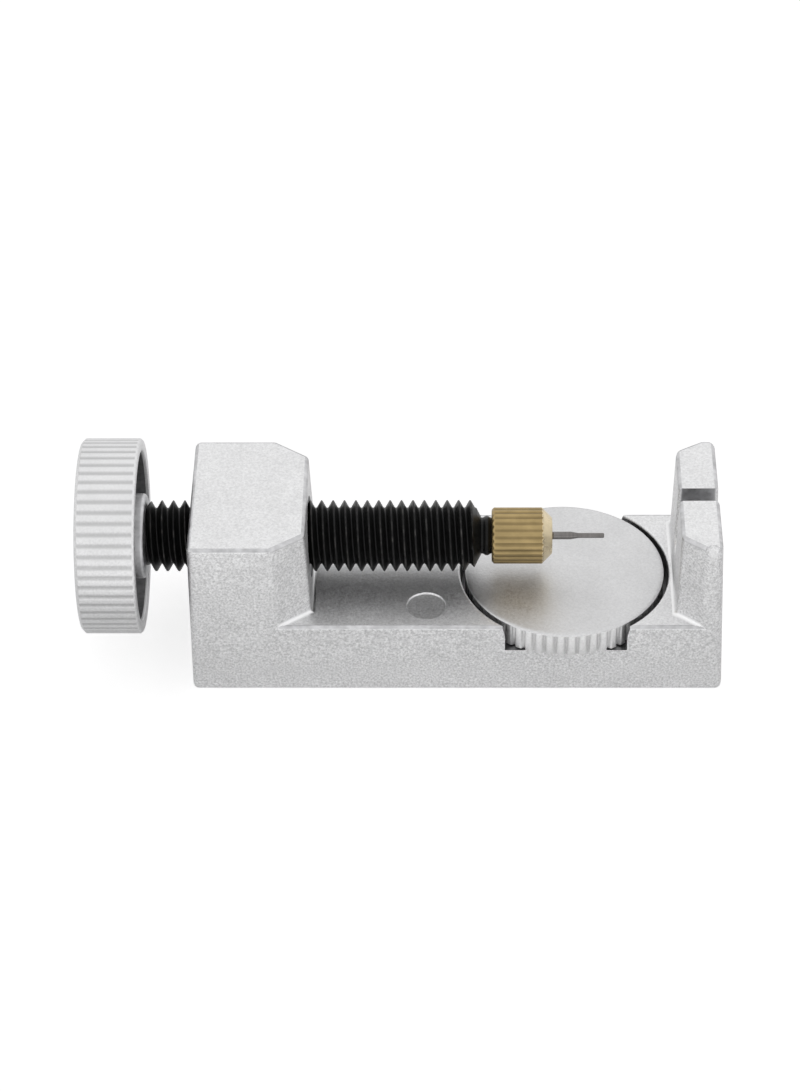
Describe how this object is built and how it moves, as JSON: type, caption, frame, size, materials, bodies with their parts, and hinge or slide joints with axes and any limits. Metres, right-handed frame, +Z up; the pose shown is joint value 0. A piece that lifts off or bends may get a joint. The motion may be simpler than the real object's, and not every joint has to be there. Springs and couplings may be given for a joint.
{
  "type": "watch link remover",
  "caption": "Small bench tool for pushing pins out of metal watch bands: cast frame with anvil, threaded spindle with knurled knob and push pin, and a band-height wheel.",
  "frame": {"origin": "on the underside of the frame, under the middle of the whole tool's length", "axes": "+X along the spindle from the knob to the anvil, +Y across the base to the back, +Z up"},
  "size_m": [0.07, 0.0218, 0.0246],
  "materials": {
    "cast_aluminium": "fine-grained silver coating on a casting, matt",
    "knob_aluminium": "straight knurl, satin",
    "wheel_aluminium": "fine-grained, matt",
    "black_oxide_steel": "black oxide, lightly oiled",
    "zinc_plated_steel": "bright zinc plate",
    "brass": "turned and knurled, bright",
    "pin_steel": "hardened, fine ground"
  },
  "bodies": {
    "frame": {"frame": "cast_aluminium"},
    "pin_carriage": {"push_pin": "pin_steel"},
    "spindle": {"drive_spindle": "black_oxide_steel", "drive_knob": "knob_aluminium", "knob_screw": "zinc_plated_steel", "pin_cap": "brass"},
    "wheel_carriage": {"wheel_clip": "black_oxide_steel"},
    "wheel": {"height_wheel": "wheel_aluminium", "wheel_stem": "zinc_plated_steel"}
  },
  "joints": [
    {"name": "pin_advance", "type": "slide", "parent": "frame", "child": "pin_carriage", "axis": [1, 0, 0], "range_m": [-0.025, 0.00469]},
    {"name": "spindle_turn", "type": "hinge", "parent": "pin_carriage", "child": "spindle", "pos_m": [0, 0, 0.01385], "axis": [1, 0, 0], "range_deg": [-7236, 1386]},
    {"name": "wheel_rise", "type": "slide", "parent": "frame", "child": "wheel_carriage", "axis": [0, 0, 1], "range_m": [0, 0.0008]},
    {"name": "wheel_turn", "type": "hinge", "parent": "wheel_carriage", "child": "wheel", "pos_m": [0.0178, 0, 0], "axis": [0, 0, 1], "range_deg": [-9, 369]}
  ],
  "couplings": [
    {"joint": "spindle_turn", "follows": "pin_advance", "rad_per_m": 5026.5},
    {"joint": "wheel_turn", "follows": "wheel_rise", "rad_per_m": 7854}
  ]
}
